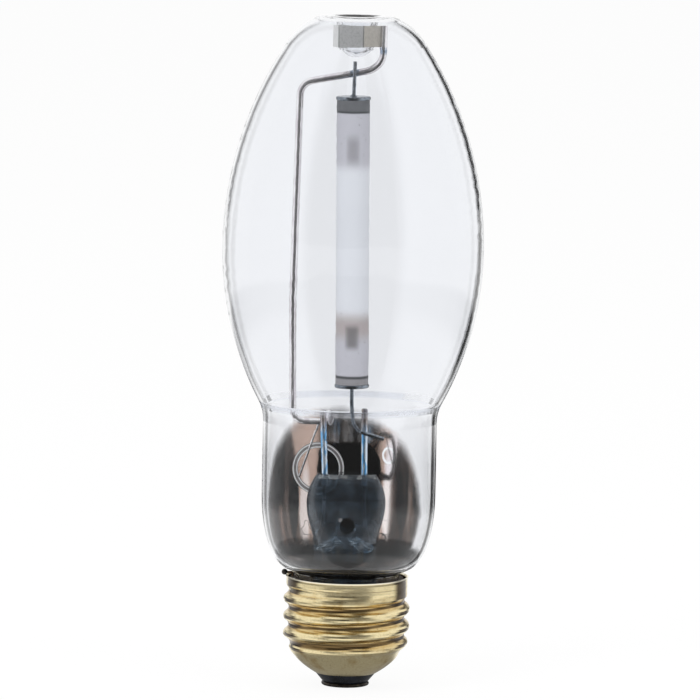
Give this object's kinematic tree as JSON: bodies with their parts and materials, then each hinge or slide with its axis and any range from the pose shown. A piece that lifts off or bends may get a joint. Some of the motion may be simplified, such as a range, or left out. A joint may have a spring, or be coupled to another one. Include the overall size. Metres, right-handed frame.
{
  "type": "high pressure sodium lamp",
  "caption": "High pressure sodium lamp with a clear ovoid glass envelope, a ceramic arc tube on a wire frame and a medium screw cap.",
  "frame": {"origin": "lowest point of the centre contact's solder, on the axis of the cap", "axes": "+Z along the lamp's axis from the cap up to the dome, +X to the right and +Y away from the reader as pictured"},
  "size_m": [0.054, 0.054, 0.1391],
  "materials": {
    "clear_glass": "clear borosilicate, smooth",
    "stem_glass": "clear pressed glass, smooth",
    "black_glass": "opaque black glass, glossy",
    "shell_brass": "rolled brass, aged brown",
    "contact_brass": "stamped brass, tarnished",
    "solder": "soft solder, dull",
    "cement": "basing cement, matt",
    "nickel": "nickel plated wire, satin",
    "strap_steel": "thin steel strip, satin",
    "copper_lead": "copper clad wire, dull",
    "alumina": "translucent sintered alumina",
    "niobium": "niobium, satin",
    "tungsten": "tungsten, dark grey",
    "getter_steel": "bent steel channel, satin",
    "getter_metal": "spent barium getter, dark",
    "amalgam": "sodium amalgam, bright"
  },
  "bodies": {
    "root": {"outer_bulb": "clear_glass", "stem_glass": "stem_glass", "exhaust_tube": "stem_glass", "left_lead_post": "nickel", "right_lead_post": "nickel", "left_seal_wire": "tungsten", "right_seal_wire": "tungsten", "side_lead_wire": "copper_lead", "centre_lead_wire": "copper_lead", "frame_wire": "nickel", "dimple_strap": "strap_steel", "getter_ring": "getter_steel", "getter_fill": "getter_metal", "getter_wire": "nickel", "arc_tube": "alumina", "upper_end_plug": "alumina", "lower_end_plug": "alumina", "upper_end_cap": "niobium", "lower_end_cap": "niobium", "upper_niobium_lead": "niobium", "lower_niobium_lead": "niobium", "upper_electrode_rod": "tungsten", "lower_electrode_rod": "tungsten", "upper_electrode_coil": "tungsten", "lower_electrode_coil": "tungsten", "amalgam_dose": "amalgam", "screw_shell": "shell_brass", "basing_cement": "cement", "base_insulator": "black_glass", "centre_contact": "contact_brass", "centre_solder": "solder", "side_solder": "solder"}
  },
  "joints": []
}
